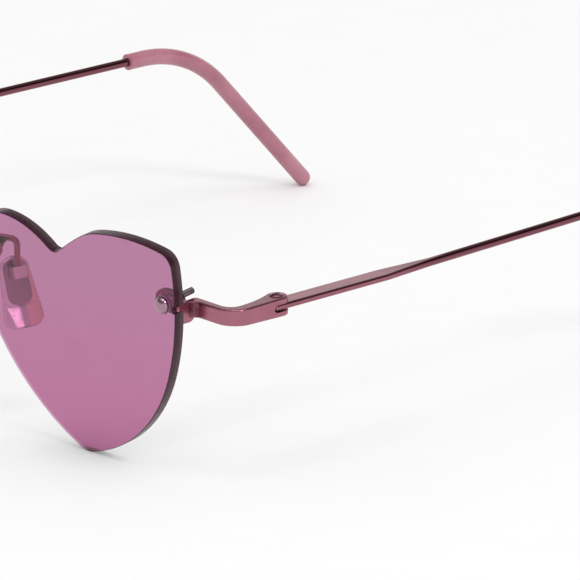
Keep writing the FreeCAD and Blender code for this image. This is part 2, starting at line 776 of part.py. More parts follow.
def add_pipe(body, kind, radius, start, shortfall):
    """Round bar along the wire's line, added to a body or taken from it."""
    path = new_sketch(body, ear_path(start, shortfall), wire_plane)
    section = round_sketch(body, radius, shift(*(wire_way * start)) * wire_section)
    pipe = body.newObject("PartDesign::" + kind, body.Label + "_" + kind.lower())
    pipe.Profile = section
    pipe.Spine = (path, ["Edge1", "Edge2", "Edge3"])
    return pipe


SECTION_TURN = Rotation(X_AXIS, Z_AXIS, Vector(0, -1, 0), "ZXY")


def blade_section():
    """Cross-section of the blade: eight edges, as in the wire's outline that it is drawn into."""
    half_blade, half_thick = size("blade_width") / 2, size("blade_thickness") / 2
    corners = [point(-half_blade, -half_thick), point(half_blade, -half_thick),
               point(half_blade, half_thick), point(-half_blade, half_thick)]
    return rounded(corners, [size("blade_edge_radius")] * 4)


def wire_outline(flat_on_top):
    """Circle of the wire in eight edges that start and end like the blade's; its top can be flat."""
    radius = size("wire_diameter") / 2
    turns = [-155, -115, -65, -25, 25, 65, 115, 155]
    places = [point(math.cos(math.radians(turn)), math.sin(math.radians(turn))) * radius for turn in turns]
    edges = [arc(Ring(Vector(), radius), a, b) for a, b in zip(places, places[1:] + places[:1])]
    if flat_on_top:
        edges[5] = Part.LineSegment(places[5], places[6])
    return edges


def build_temple(label):
    """Flat blade drawn down to a wire that bends over the ear; its hinge end is round on the inner side."""
    body = new_body(label, temple_place)
    half_blade, half_thick = size("blade_width") / 2, size("blade_thickness") / 2
    length = size("blade_length")
    rounding = size("blade_corner_radius")
    corner = Ring(point(half_blade - rounding, rounding - half_blade), rounding)
    sides = [point(half_blade, corner.centre.y), point(half_blade, length), point(-half_blade, length),
             point(-half_blade, 0)]
    nose = point(0, -half_blade)
    hinge_end = [arc(Ring(Vector(), half_blade), sides[-1], nose)] + run(nose, point(corner.centre.x, -half_blade))
    outline = new_sketch(body, run(*sides) + hinge_end + [arc(corner, point(corner.centre.x, -half_blade), sides[0])])
    blade = extrude(body, "Pad", outline, bound("blade_thickness"), both_ways=True)
    rims = edges_where(blade, lambda place: abs(abs(place.z) - half_thick) < 1e-6,
                       lambda place: place.y < length - 1e-6)
    dress(body, "Fillet", blade, rims, bound("blade_edge_radius"))
    pivot = round_sketch(body, "Sizes.hinge_screw_diameter / 2 + Sizes.fit_clearance", shift(z=half_thick))
    extrude(body, "Pocket", pivot, bound("blade_thickness"))

    blade_end = new_sketch(body, blade_section(), Placement(Vector(0, length, 0), SECTION_TURN))
    flat_end = new_sketch(body, wire_outline(True), wire_section)
    round_end = new_sketch(body, wire_outline(False), shift(*(wire_way * size("flat_run_out"))) * wire_section)
    taper = body.newObject("PartDesign::AdditiveLoft", label + "_taper")
    taper.Profile = blade_end
    taper.Sections = [flat_end, round_end]
    taper.Ruled = True
    add_pipe(body, "AdditivePipe", "Sizes.wire_diameter / 2", size("flat_run_out"), size("sleeve_cap"))
    return body


def build_temple_tip(label):
    """Plastic sleeve over the ear end of the wire, closed and rounded at its end."""
    body = new_body(label, temple_place)
    start = straight_length - size("sleeve_lead")
    add_pipe(body, "AdditivePipe", "Sizes.sleeve_diameter / 2", start, 0)
    ball = body.newObject("PartDesign::AdditiveSphere", label + "_end")
    ball.AttachmentSupport = [(origin_plane(body, "XY_Plane"), "")]
    ball.MapMode = "FlatFace"
    ball.AttachmentOffset = wire_plane * Placement(ear_path(start, 0)[-1].EndPoint, Rotation())
    ball.setExpression("Radius", "Sizes.sleeve_diameter / 2")
    add_pipe(body, "SubtractivePipe", "Sizes.wire_diameter / 2 + Sizes.fit_clearance", start, size("sleeve_cap"))
    return body


# Bridge

bar_span, bar_rise = nasal_place.Base.x - size("bar_end_inset"), size("bar_rise")
bar_radius = (bar_span ** 2 + bar_rise ** 2) / (2 * bar_rise)
bar_ring = Ring(point(0, nasal_place.Base.z + bar_rise - bar_radius), bar_radius)
bar_front = nasal_place.multVec(Vector(bar_span - nasal_place.Base.x, 0, -foot_front)).y + size("bar_sink")


def bar_level(x):
    """Height of the bar's middle line at this distance from the nose."""
    return bar_ring.centre.y + math.sqrt(bar_radius ** 2 - x ** 2)


def build_bridge(label):
    """Arched bar with a foot behind each lens."""
    body = new_body(label)
    end_way = (point(bar_span, bar_level(bar_span)) - bar_ring.centre).normalize()
    reaches = [bar_radius - size("bar_height") / 2, bar_radius + size("bar_height") / 2]
    right_ends = [bar_ring.centre + end_way * reach for reach in reaches]
    left_ends = [point(-end.x, end.y) for end in right_ends]
    arcs = [arc(Ring(bar_ring.centre, reach), left, right)
            for reach, left, right in zip(reaches, left_ends, right_ends)]
    bar_sketch = new_sketch(body, arcs + run(*left_ends) + run(*right_ends), shift(z=-bar_front), "XZ_Plane")
    bar = extrude(body, "Pad", bar_sketch, bound("bar_depth"), backwards=True)

    def on_long_edge(place):
        reach = math.hypot(place.x, place.z - bar_ring.centre.y)
        return min(abs(reach - edge) for edge in reaches) < 1e-5

    long_edges = edges_where(bar, on_long_edge, lambda place: abs(place.x) < 1e-6)
    dress(body, "Fillet", bar, long_edges, bound("bar_edge_radius"))
    features = add_foot(body, nasal_place, INWARDS, size("bridge_foot_reach"))
    features.append(add_screw_hole(body, nasal_place))
    other_side = body.newObject("PartDesign::Mirrored", label + "_mirrored")
    other_side.Originals = features
    other_side.MirrorPlane = (origin_plane(body, "YZ_Plane"), [""])
    body.Tip = other_side
    return body


# Nose pads: X out of the pad's back, Y along its width to the rear, Z up along its height

splay, lean = math.radians(size("pad_splay_angle")), math.radians(size("pad_lean_angle"))
pitch = math.radians(size("pad_pitch_angle"))
level_rear = Vector(math.sin(splay), math.cos(splay), 0)
level_side = Vector(math.cos(splay), -math.sin(splay), 0)
upright = Z_AXIS * math.cos(lean) - level_side * math.sin(lean)
pad_rear = level_rear * math.cos(pitch) + upright * math.sin(pitch)
pad_up = upright * math.cos(pitch) - level_rear * math.sin(pitch)
pad_origin = nasal_place.Base + Vector(-size("pad_inset"), size("pad_setback"), -size("pad_hang"))
pad_place = Placement(pad_origin, Rotation(pad_rear.cross(pad_up), pad_rear, pad_up, "ZXY"))
box_inner = size("lug_width") / 2 + size("lug_clearance")
box_outer = box_inner + size("box_wall")
box_floor = size("lug_axis_distance") + size("lug_height") / 2 + size("box_floor_gap")
box_back = box_floor + size("box_floor")
along_pad_screw = Placement(Vector(size("lug_axis_distance"), 0, 0), Rotation(X_AXIS, -90))


def core_outline(gap):
    """Outline of the insert's plate, with a gap all round for its recess."""
    half_wide, half_tall = size("core_width") / 2 + gap, size("core_height") / 2 + gap
    top, bottom = half_tall - size("core_drop"), -half_tall - size("core_drop")
    corners = [point(-half_wide, top), point(half_wide, top), point(half_wide, bottom), point(-half_wide, bottom)]
    return rounded(corners, [size("core_corner_radius") + gap] * 4)


def build_nose_pad(label):
    """Soft drop shaped pad with a recess in its back for the metal insert."""
    body = new_body(label, pad_place)
    half_top, half_bottom = size("pad_top_width") / 2, size("pad_bottom_width") / 2
    top, bottom = size("pad_rise"), -size("pad_drop")
    corners = [point(-half_top, top), point(half_top, top), point(half_bottom, bottom), point(-half_bottom, bottom)]
    radii = [size("pad_top_radius")] * 2 + [size("pad_bottom_radius")] * 2
    outline = rounded(corners, radii)
    sketch = new_sketch(body, outline, role="YZ_Plane")
    block = extrude(body, "Pad", sketch, bound("pad_thickness"), backwards=True)
    back_rim = edges_where(block, lambda place: abs(place.x) < 1e-6)
    eased = dress(body, "Fillet", block, back_rim, bound("pad_back_radius"))
    face_rim = edges_where(eased, lambda place: abs(place.x + size("pad_thickness")) < 1e-6)
    dress(body, "Fillet", eased, face_rim, bound("pad_face_radius"))
    recess = new_sketch(body, core_outline(size("core_clearance")), role="YZ_Plane")
    extrude(body, "Pocket", recess, bound("core_thickness", "core_clearance"))
    return body


def build_pad_core(label):
    """Metal insert: a plate set in the pad's back and a lug drilled for the pad screw."""
    body = new_body(label, pad_place)
    plate = new_sketch(body, core_outline(0), role="YZ_Plane")
    extrude(body, "Pad", plate, bound("core_thickness"), backwards=True)
    reach, half_lug = size("lug_axis_distance"), size("lug_height") / 2
    lug = run(point(reach, -half_lug), point(0, -half_lug), point(0, half_lug), point(reach, half_lug))
    lug.append(Part.Arc(point(reach, half_lug), point(reach + half_lug, 0), point(reach, -half_lug)))
    extrude(body, "Pad", new_sketch(body, lug, role="XZ_Plane"), bound("lug_width"), both_ways=True)
    bore = round_sketch(body, "Sizes.pad_screw_diameter / 2 + Sizes.fit_clearance",
                        along_pad_screw * shift(z=size("lug_width")))
    extrude(body, "Pocket", bore, "2 * Sizes.lug_width")
    return body


def build_pad_box(label):
    """Small cup, open towards the pad, that holds the lug between two drilled cheeks."""
    body = new_body(label, pad_place)
    front = size("box_gap")
    cheeks = polygon([point(front, box_inner), point(front, box_outer), point(box_back, box_outer),
                      point(box_back, -box_outer), point(front, -box_outer), point(front, -box_inner),
                      point(box_floor, -box_inner), point(box_floor, box_inner)])
    extrude(body, "Pad", new_sketch(body, cheeks), bound("box_height"), both_ways=True)
    bore = round_sketch(body, "Sizes.pad_screw_diameter / 2 + Sizes.fit_clearance",
                        along_pad_screw * shift(z=2 * box_outer))
    extrude(body, "Pocket", bore, "%f" % (4 * box_outer))
    return body


def build_pad_screw(label):
    """Tiny screw across the box; the pad rocks on it."""
    shank, head = size("pad_screw_diameter") / 2, size("pad_screw_head_diameter") / 2
    head_end = box_outer + size("pad_screw_head_height")
    profile = polygon([point(0, -box_outer), point(shank, -box_outer), point(shank, box_outer),
                       point(head, box_outer), point(head, head_end), point(0, head_end)])
    body = new_body(label, pad_place * along_pad_screw)
    revolve(body, "Revolution", profile)
    return body


def bent_wire(points, radius, diameter):
    """Round wire through corner points, with the corners bent to a radius."""
    edges = []
    last = points[0]
    for before, corner_point, after in zip(points, points[1:], points[2:]):
        start, middle, end = bend_at(before, corner_point, after, radius)
        edges += [Part.LineSegment(last, start).toShape(), Part.Arc(start, middle, end).toShape()]
        last = end
    edges.append(Part.LineSegment(last, points[-1]).toShape())
    section = Part.Wire(Part.Circle(points[0], points[1] - points[0], diameter / 2).toShape())
    return Part.Wire(edges).makePipeShell([section], True, False)


def build_pad_arm(label):
    """Wire brazed to the back of the bridge bar and to the top of the pad box."""
    wire_x = bar_span - size("pad_wire_inset")
    bar_end = Vector(wire_x, bar_front + size("bar_depth"), bar_level(wire_x))
    lead = bar_end + Vector(0, size("pad_wire_lead"), 0)
    box_top = pad_place.multVec(Vector((box_floor + box_back) / 2, 0, size("box_height") / 2))
    over_box = box_top + pad_up * size("pad_wire_stub")
    elbow = over_box + Z_AXIS * size("pad_wire_rise")
    piece = doc.addObject("Part::Feature", label)
    piece.Label = label
    route = [bar_end, lead, elbow, over_box, box_top]
    piece.Shape = bent_wire(route, size("pad_wire_bend_radius"), size("pad_wire_diameter"))
    return piece


# Left half and the bridge

centre_pieces = [build_bridge("bridge")]
left_pieces = [
    build_lens("lens_left"),
    build_screw("temporal_screw_left", temporal_place, "temporal_screw_length"),
    build_washer("temporal_washer_left", temporal_place),
    build_bush("temporal_bush_left", temporal_place),
    build_nut("temporal_nut_left", temporal_place),
    build_screw("bridge_screw_left", nasal_place, "bridge_screw_length"),
    build_washer("bridge_washer_left", nasal_place),
    build_bush("bridge_bush_left", nasal_place),
    build_nut("bridge_nut_left", nasal_place),
    build_endpiece("endpiece_left"),
    build_hinge_screw("hinge_screw_left"),
    build_temple("temple_left"),
    build_temple_tip("temple_tip_left"),
    build_pad_arm("pad_arm_left"),
    build_pad_box("pad_box_left"),
    build_pad_screw("pad_screw_left"),
    build_pad_core("pad_core_left"),
    build_nose_pad("nose_pad_left"),
]
doc.recompute()

# Right half, mirrored in the plane between the lenses
right_pieces = []
for left_piece in left_pieces:
    label = left_piece.Label.replace("_left", "_right")
    mirror = doc.addObject("Part::Mirroring", label)
    mirror.Label = label
    mirror.Source = left_piece
    mirror.Normal = X_AXIS
    right_pieces.append(mirror)

# Stand the pair at the origin: lowest point at Z = 0, middle of its depth at Y = 0
boxes = [piece.Shape.optimalBoundingBox() for piece in centre_pieces + left_pieces]
depth_middle = (min(box.YMin for box in boxes) + max(box.YMax for box in boxes)) / 2
floor = min(box.ZMin for box in boxes)
for piece in centre_pieces + left_pieces:
    piece.Placement = shift(y=-depth_middle, z=-floor) * piece.Placement
doc.recompute()

# Check everything, then write one file for each piece
for item in doc.Objects:
    if "Invalid" in item.State or "Error" in item.State:
        raise RuntimeError("%s failed to compute: %s" % (item.Label, item.State))
pieces = centre_pieces + left_pieces + right_pieces
for piece in pieces:
    if piece.Shape.isNull() or not piece.Shape.isValid() or piece.Shape.Volume <= 0:
        raise RuntimeError("%s has no sound shape" % piece.Label)
os.makedirs("parts", exist_ok=True)
for piece in pieces:
    piece.Shape.exportStep("parts/%s.step" % piece.Label)
    print("%-24s solids %d  volume %9.3f" % (piece.Label, len(piece.Shape.Solids), piece.Shape.Volume))
origin_shift = shift(y=-depth_middle, z=-floor)
print("hinge axis", origin_shift.multVec(hinge_point))
print("pad axis", origin_shift.multVec(pad_place.multVec(along_pad_screw.Base)), pad_rear)
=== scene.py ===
"""Heart shaped rimless sunglasses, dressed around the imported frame: lenses, fittings, temples, nose pads, table."""
import json
import math

import bmesh
import bpy
from mathutils import Matrix, Vector


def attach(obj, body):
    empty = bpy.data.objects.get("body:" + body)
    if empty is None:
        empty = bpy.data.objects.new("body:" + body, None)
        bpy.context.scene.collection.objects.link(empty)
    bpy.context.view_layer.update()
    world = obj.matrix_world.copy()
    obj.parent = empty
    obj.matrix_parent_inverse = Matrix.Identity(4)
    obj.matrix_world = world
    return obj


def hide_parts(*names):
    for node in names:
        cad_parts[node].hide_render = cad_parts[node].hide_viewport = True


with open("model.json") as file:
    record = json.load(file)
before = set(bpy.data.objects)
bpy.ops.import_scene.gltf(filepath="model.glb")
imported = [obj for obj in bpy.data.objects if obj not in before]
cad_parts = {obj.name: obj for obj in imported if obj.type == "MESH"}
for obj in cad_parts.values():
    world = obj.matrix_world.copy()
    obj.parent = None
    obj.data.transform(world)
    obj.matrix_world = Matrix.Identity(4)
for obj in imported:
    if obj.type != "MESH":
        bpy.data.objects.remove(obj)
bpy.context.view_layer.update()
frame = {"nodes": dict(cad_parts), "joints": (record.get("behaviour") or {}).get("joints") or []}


# Lenses
# Two pieces of tinted nylon sheet, pressed to a shallow curve, cut to a heart and drilled for two screws each.
# The faces are polished and clear; the cut edge is painted dark from outside, as painted shade and reflection, and
# partly pale, as painted light, when seen through the face.
SIDES = {"left": 1, "right": -1}
MM = 0.001
nodes = frame["nodes"]
left_hinge = next(Vector(j["pos_m"]) for j in frame["joints"] if j["name"] == "temple_fold_left")
LENS_CURVE = 350 * MM
LENS_THICKNESS = 2.45 * MM
LENS_WRAP, LENS_TILT = math.radians(2.0), math.radians(7.5)
LENS_MIDDLE = left_hinge + Vector((-37.607, -20.469, -11.498)) * MM
# The tint is a deeper pink at the tip, and there it is also lifted as painted light against the shade seen through it
TINT_ABOVE = (0.693, 0.443, 0.591, 1)
TINT_AT_TIP = (0.712, 0.398, 0.573, 1)
# Painted light and painted shade on the cut edge where it is seen through the face
EDGE_SEEN_THROUGH_PAINTED_LIGHT = (0.90, 0.86, 0.88, 1)
EDGE_FAR_PAINTED_SHADE = (0.16, 0.06, 0.11, 1)
SHADE_AT_TIP = (0.40, 0.39, 0.395, 1)
SHADE_ABOVE = (0.92, 0.91, 0.915, 1)
# Heights over the table between which the tint and the shade run from tip to above
TINT_FROM, TINT_TO = 0.0, 40 * MM
SHADE_FROM, SHADE_TO = 3 * MM, 16 * MM
# Painted shade at the front of the cut edge, greying to a painted reflection at its back
EDGE_FRONT_PAINTED_SHADE = (0.034, 0.007, 0.015, 1)
EDGE_BACK_PAINTED_REFLECTION = (0.062, 0.040, 0.048, 1)


def new_finish(name):
    """Empty node material, its tree and its output."""
    material = bpy.data.materials.new(name)
    material.use_nodes = True
    tree = material.node_tree
    tree.nodes.clear()
    return material, tree, tree.nodes.new("ShaderNodeOutputMaterial")


def add_node(tree, kind, settings=None, **inputs):
    """Node with its settings; an input is a value for its socket or another node's output to link."""
    node = tree.nodes.new("ShaderNode" + kind)
    for name, value in (settings or {}).items():
        setattr(node, name, value)
    for name, value in inputs.items():
        socket = node.inputs[int(name[1:])] if name[1:].isdigit() else node.inputs[name.replace("_", " ")]
        if isinstance(value, bpy.types.NodeSocket):
            tree.links.new(value, socket)
        else:
            socket.default_value = value
    return node


def grain(tree, where, scale, detail=2.0, low=0.0, high=1.0):
    """Noise at so many lumps a metre, stretched to run from low to high."""
    noise = add_node(tree, "TexNoise", Vector=where, Scale=scale, Detail=detail)
    spread = add_node(tree, "MapRange", Value=noise.outputs["Fac"], From_Min=0.3, From_Max=0.7,
                      To_Min=low, To_Max=high)
    return spread.outputs["Result"]


def two_tone(tree, share, first, second):
    """Colour between two others by a share."""
    mix = add_node(tree, "Mix", {"data_type": "RGBA"}, _0=share)
    mix.inputs[6].default_value, mix.inputs[7].default_value = first, second
    return mix.outputs[2]


def lens_pose(sign):
    """Middle of a lens's front face and the way that it looks."""
    axis = Vector((sign * math.sin(LENS_WRAP) * math.cos(LENS_TILT),
                   -math.cos(LENS_WRAP) * math.cos(LENS_TILT), -math.sin(LENS_TILT)))
    return Vector((sign * LENS_MIDDLE.x, LENS_MIDDLE.y, LENS_MIDDLE.z)), axis


def lens_finish(side, sign):
    """Clear tinted faces with a cut edge in painted shade and reflection; the edge is found by its normal and its
    depth behind the front.
    """
    material, tree, out = new_finish("tinted_sheet_" + side)
    middle, axis = lens_pose(sign)
    where = add_node(tree, "TexCoord")
    spot, normal = where.outputs["Object"], where.outputs["Normal"]

    facing = add_node(tree, "VectorMath", {"operation": "DOT_PRODUCT"}, _0=normal, _1=axis)
    square_on = add_node(tree, "Math", {"operation": "ABSOLUTE"}, _0=facing.outputs["Value"])
    turned_away = add_node(tree, "MapRange", Value=square_on.outputs[0], From_Min=0.85, From_Max=0.95,
                           To_Min=1.0, To_Max=0.0).outputs["Result"]
    from_ball = add_node(tree, "VectorMath", {"operation": "DISTANCE"}, _0=spot, _1=middle - axis * LENS_CURVE)
    depth = add_node(tree, "MapRange", Value=from_ball.outputs["Value"], From_Min=LENS_CURVE,
                     From_Max=LENS_CURVE - LENS_THICKNESS).outputs["Result"]
    off_front = add_node(tree, "MapRange", Value=depth, From_Min=0.01, From_Max=0.04).outputs["Result"]
    off_back = add_node(tree, "MapRange", Value=depth, From_Min=0.99, From_Max=0.96).outputs["Result"]
    between = add_node(tree, "Math", {"operation": "MULTIPLY"}, _0=off_front, _1=off_back).outputs[0]
    on_edge = add_node(tree, "Math", {"operation": "MULTIPLY"}, _0=turned_away, _1=between).outputs[0]
    height = add_node(tree, "SeparateXYZ", Vector=spot).outputs["Z"]
    up_the_lens = add_node(tree, "MapRange", Value=height, From_Min=TINT_FROM, From_Max=TINT_TO).outputs["Result"]

    tint = two_tone(tree, up_the_lens, TINT_AT_TIP, TINT_ABOVE)
    near_front = add_node(tree, "MapRange", Value=depth, From_Min=0.18, From_Max=0.34, To_Min=1.0, To_Max=0.0)
    showing = add_node(tree, "Math", {"operation": "MULTIPLY"}, _0=on_edge, _1=near_front.outputs["Result"])
    # Seen from inside, the edge on the nose side is painted pale as painted light, and the one below the temple
    # painted dark as painted shade
    inward = add_node(tree, "VectorMath", {"operation": "DOT_PRODUCT"}, _0=normal, _1=(sign, 0, 0))
    nose_side = add_node(tree, "MapRange", Value=inward.outputs["Value"], From_Min=0.0, From_Max=0.3)
    painted_edge_through = two_tone(tree, nose_side.outputs["Result"], EDGE_FAR_PAINTED_SHADE, EDGE_SEEN_THROUGH_PAINTED_LIGHT)
    passing = add_node(tree, "Mix", {"data_type": "RGBA"}, _0=showing.outputs[0], _6=tint, _7=painted_edge_through)
    clear = add_node(tree, "BsdfTransparent", Color=passing.outputs[2])
    smear = grain(tree, spot, 140, 3, 0.015, 0.05)
    shine = add_node(tree, "BsdfGlossy", Roughness=smear)
    bounce = add_node(tree, "Fresnel", IOR=1.5)
    face = add_node(tree, "MixShader", _0=bounce.outputs[0], _1=clear.outputs[0], _2=shine.outputs[0])

    # The cut edge's tone is painted: shade at the front, reflection towards the back
    painted_edge_tone = add_node(tree, "ValToRGB", Fac=depth)
    painted_edge_tone.color_ramp.elements[0].position, painted_edge_tone.color_ramp.elements[0].color = 0.40, EDGE_FRONT_PAINTED_SHADE
    painted_edge_tone.color_ramp.elements[1].position, painted_edge_tone.color_ramp.elements[1].color = 0.75, EDGE_BACK_PAINTED_REFLECTION
    cut_marks = grain(tree, spot, 900, 2, 0.22, 0.38)
    cut = add_node(tree, "BsdfPrincipled", Base_Color=painted_edge_tone.outputs["Color"], Roughness=cut_marks,
                   Specular_IOR_Level=0.22)
    outside = add_node(tree, "MixShader", _0=on_edge, _1=face.outputs[0], _2=cut.outputs[0])
    from_inside = add_node(tree, "NewGeometry").outputs["Backfacing"]
    sheet = add_node(tree, "MixShader", _0=from_inside, _1=outside.outputs[0], _2=clear.outputs[0])
    # Light goes through with a shade that is deepest at the tip; mirrored rays pass as if there were no lens
    rays = add_node(tree, "LightPath").outputs
    lighting = add_node(tree, "Math", {"operation": "MAXIMUM"}, _0=rays["Is Shadow Ray"], _1=rays["Is Diffuse Ray"])
    unseen = add_node(tree, "Math", {"operation": "MAXIMUM"}, _0=lighting.outputs[0], _1=rays["Is Glossy Ray"])
    off_table = add_node(tree, "MapRange", Value=height, From_Min=SHADE_FROM, From_Max=SHADE_TO)
    shade = two_tone(tree, off_table.outputs["Result"], SHADE_AT_TIP, SHADE_ABOVE)
    let_by_colour = add_node(tree, "Mix", {"data_type": "RGBA"}, _0=rays["Is Glossy Ray"], _6=shade)
    let_by_colour.inputs[7].default_value = (1, 1, 1, 1)
    let_by = add_node(tree, "BsdfTransparent", Color=let_by_colour.outputs[2])
    whole = add_node(tree, "MixShader", _0=unseen.outputs[0], _1=sheet.outputs[0], _2=let_by.outputs[0])
    tree.links.new(whole.outputs[0], out.inputs["Surface"])
    return material


def dress(finish, *names):
    """Gives CAD nodes one finish."""
    for name in names:
        slots = nodes[name].data.materials
        slots.clear()
        slots.append(finish)


def both(*stems):
    """Names of the left and right piece for each stem."""
    return [stem + "_" + side for stem in stems for side in SIDES]


for side, sign in SIDES.items():
    dress(lens_finish(side, sign), "lens_" + side)


# Bushes and washers
# Moulded nylon, milky and purple: a top hat bush lines each lens hole, a thin washer lies under the screw head.
# They keep the metal off the lens and are gripped by the screw.
NYLON_SKIN = 0.85
BUSH_DENSE, BUSH_THIN = (0.40, 0.19, 0.31, 1), (0.52, 0.26, 0.41, 1)
# The washers get a darker copy of the same nylon, as painted shade under the screw heads
WASHER_SHADED_DENSE, WASHER_SHADED_THIN = (0.15, 0.065, 0.11, 1), (0.21, 0.095, 0.16, 1)


def milky_nylon(name, dense, thin):
    """Nylon that is mostly skin, with a little seen through it; its colour runs from dense to thin."""
    material, tree, out = new_finish(name)
    spot = add_node(tree, "TexCoord").outputs["Object"]
    cloud = two_tone(tree, grain(tree, spot, 900), dense, thin)
    clear = add_node(tree, "BsdfTransparent", Color=cloud)
    skin = add_node(tree, "BsdfPrincipled", Base_Color=cloud, Roughness=grain(tree, spot, 1600, 2, 0.15, 0.35))
    whole = add_node(tree, "MixShader", _0=NYLON_SKIN, _1=clear.outputs[0], _2=skin.outputs[0])
    tree.links.new(whole.outputs[0], out.inputs["Surface"])
    return material


dress(milky_nylon("bush_nylon", BUSH_DENSE, BUSH_THIN), *both("temporal_bush", "bridge_bush"))
dress(milky_nylon("washer_nylon", WASHER_SHADED_DENSE, WASHER_SHADED_THIN), *both("temporal_washer", "bridge_washer"))


# Endpieces, bridge and pad arms
# Nickel silver, milled and bent, then polished and plated pink; the pad wires are brazed on before plating.
# The foot of each lies behind the lens and is held by the lens screw.
PLATE_ARM = (0.385, 0.150, 0.200, 1)
# Dark red painted shade for hollows and the cove
PLATE_PAINTED_HOLLOW_SHADE = (0.036, 0.001, 0.007, 1)
PLATE_CLOUD = (0.92, 0.90, 0.90, 1)
# Where a temple's blade is drawn down to wire, along y, and where its painted shade deepens from blade to wire
TAPER_START, TAPER_END = -28 * MM, -17 * MM


def plated(name, stretch, colour, rough_low, rough_high, shaded_wire_colour=None):
    """Pink plate over polished metal: faint clouds, fine lines along the piece, dark red painted shade in its
    hollows, and a darker painted shade towards the wire where one is given.
    """
    material, tree, out = new_finish(name)
    spot = add_node(tree, "TexCoord").outputs["Object"]
    along = add_node(tree, "Mapping", Vector=spot, Scale=stretch).outputs["Vector"]
    wire_shade_share = add_node(tree, "MapRange", Value=add_node(tree, "SeparateXYZ", Vector=spot).outputs["Y"],
                       From_Min=TAPER_START, From_Max=TAPER_END)
    plate = two_tone(tree, wire_shade_share.outputs["Result"], colour, shaded_wire_colour or colour)
    cloud = add_node(tree, "Mix", {"data_type": "RGBA", "blend_type": "MULTIPLY"},
                     _0=grain(tree, spot, 320, 3), _6=plate)
    cloud.inputs[7].default_value = PLATE_CLOUD
    open_sky = add_node(tree, "AmbientOcclusion", {"samples": 8, "only_local": True}, Distance=2.4 * MM)
    closed_in = add_node(tree, "MapRange", Value=open_sky.outputs["AO"], From_Min=1.0,
                         From_Max=0.972).outputs["Result"]
    facing = add_node(tree, "SeparateXYZ", Vector=add_node(tree, "TexCoord").outputs["Normal"])
    slanted = add_node(tree, "Math", {"operation": "MULTIPLY"}, _0=facing.outputs["X"], _1=facing.outputs["Y"])
    slant = add_node(tree, "Math", {"operation": "ABSOLUTE"}, _0=slanted.outputs[0])
    in_cove = add_node(tree, "ValToRGB", Fac=slant.outputs[0])
    in_cove.color_ramp.elements[0].position, in_cove.color_ramp.elements[1].position = 0.06, 0.16
    in_cove.color_ramp.elements.new(0.46).color = (1, 1, 1, 1)
    in_cove.color_ramp.elements.new(0.50).color = (0.86, 0.86, 0.86, 1)
    # Painted shade: where the AO finds a hollow on the cove's slanted faces, the plate turns dark red
    painted_hollow_shade = add_node(tree, "Math", {"operation": "MULTIPLY"}, _0=closed_in, _1=in_cove.outputs["Color"])
    tone = add_node(tree, "Mix", {"data_type": "RGBA"}, _0=painted_hollow_shade.outputs[0], _6=cloud.outputs[2])
    tone.inputs[7].default_value = PLATE_PAINTED_HOLLOW_SHADE
    lines = add_node(tree, "TexNoise", Vector=along, Scale=2600, Detail=2.0).outputs["Fac"]
    bump = add_node(tree, "Bump", Height=lines, Strength=0.02, Distance=0.02 * MM)
    metal = add_node(tree, "BsdfPrincipled", Base_Color=tone.outputs[2], Metallic=1.0,
                     Roughness=grain(tree, along, 1400, 2, rough_low, rough_high), Normal=bump.outputs["Normal"])
    tree.links.new(metal.outputs[0], out.inputs["Surface"])
    return material


dress(plated("pink_plate_fittings", (0.12, 1, 1), PLATE_ARM, 0.22, 0.28), "bridge",
      *both("endpiece", "pad_arm"))


# Lens screws and nuts
# Turned steel: domed polished heads in front, threaded ends that stand out behind plain hexagon nuts.
# Each screw clamps washer, lens, bush and foot together.
# The pink cast of the head's steel is a painted reflection, and the purple rim a painted reflection of the lens
SCREW_HEAD = (0.41, 0.245, 0.305, 1)
SCREW_RIM_PAINTED_REFLECTION = (0.22, 0.085, 0.150, 1)
PLAIN_STEEL = (0.17, 0.155, 0.150, 1)
STEEL_WEAR = (0.84, 0.83, 0.83, 1)
# How far behind the lens's middle the plain thread ends and the polished shank begins
THREAD_END, SHANK_START = -4.6 * MM, -4.2 * MM


def steel(name, colour, rough_low, rough_high):
    """Bare turned steel with faint wear; gives its colour node back too, for a second colour to be linked into."""
    material, tree, out = new_finish(name)
    spot = add_node(tree, "TexCoord").outputs["Object"]
    worn = add_node(tree, "Mix", {"data_type": "RGBA", "blend_type": "MULTIPLY"}, _0=grain(tree, spot, 700, 3))
    worn.inputs[6].default_value, worn.inputs[7].default_value = colour, STEEL_WEAR
    marks = add_node(tree, "TexNoise", Vector=spot, Scale=4200, Detail=3.0).outputs["Fac"]
    bump = add_node(tree, "Bump", Height=marks, Strength=0.03, Distance=0.02 * MM)
    metal = add_node(tree, "BsdfPrincipled", Base_Color=worn.outputs[2], Metallic=1.0,
                     Roughness=grain(tree, spot, 1800, 2, rough_low, rough_high), Normal=bump.outputs["Normal"])
    tree.links.new(metal.outputs[0], out.inputs["Surface"])
    return material, tree, worn, spot


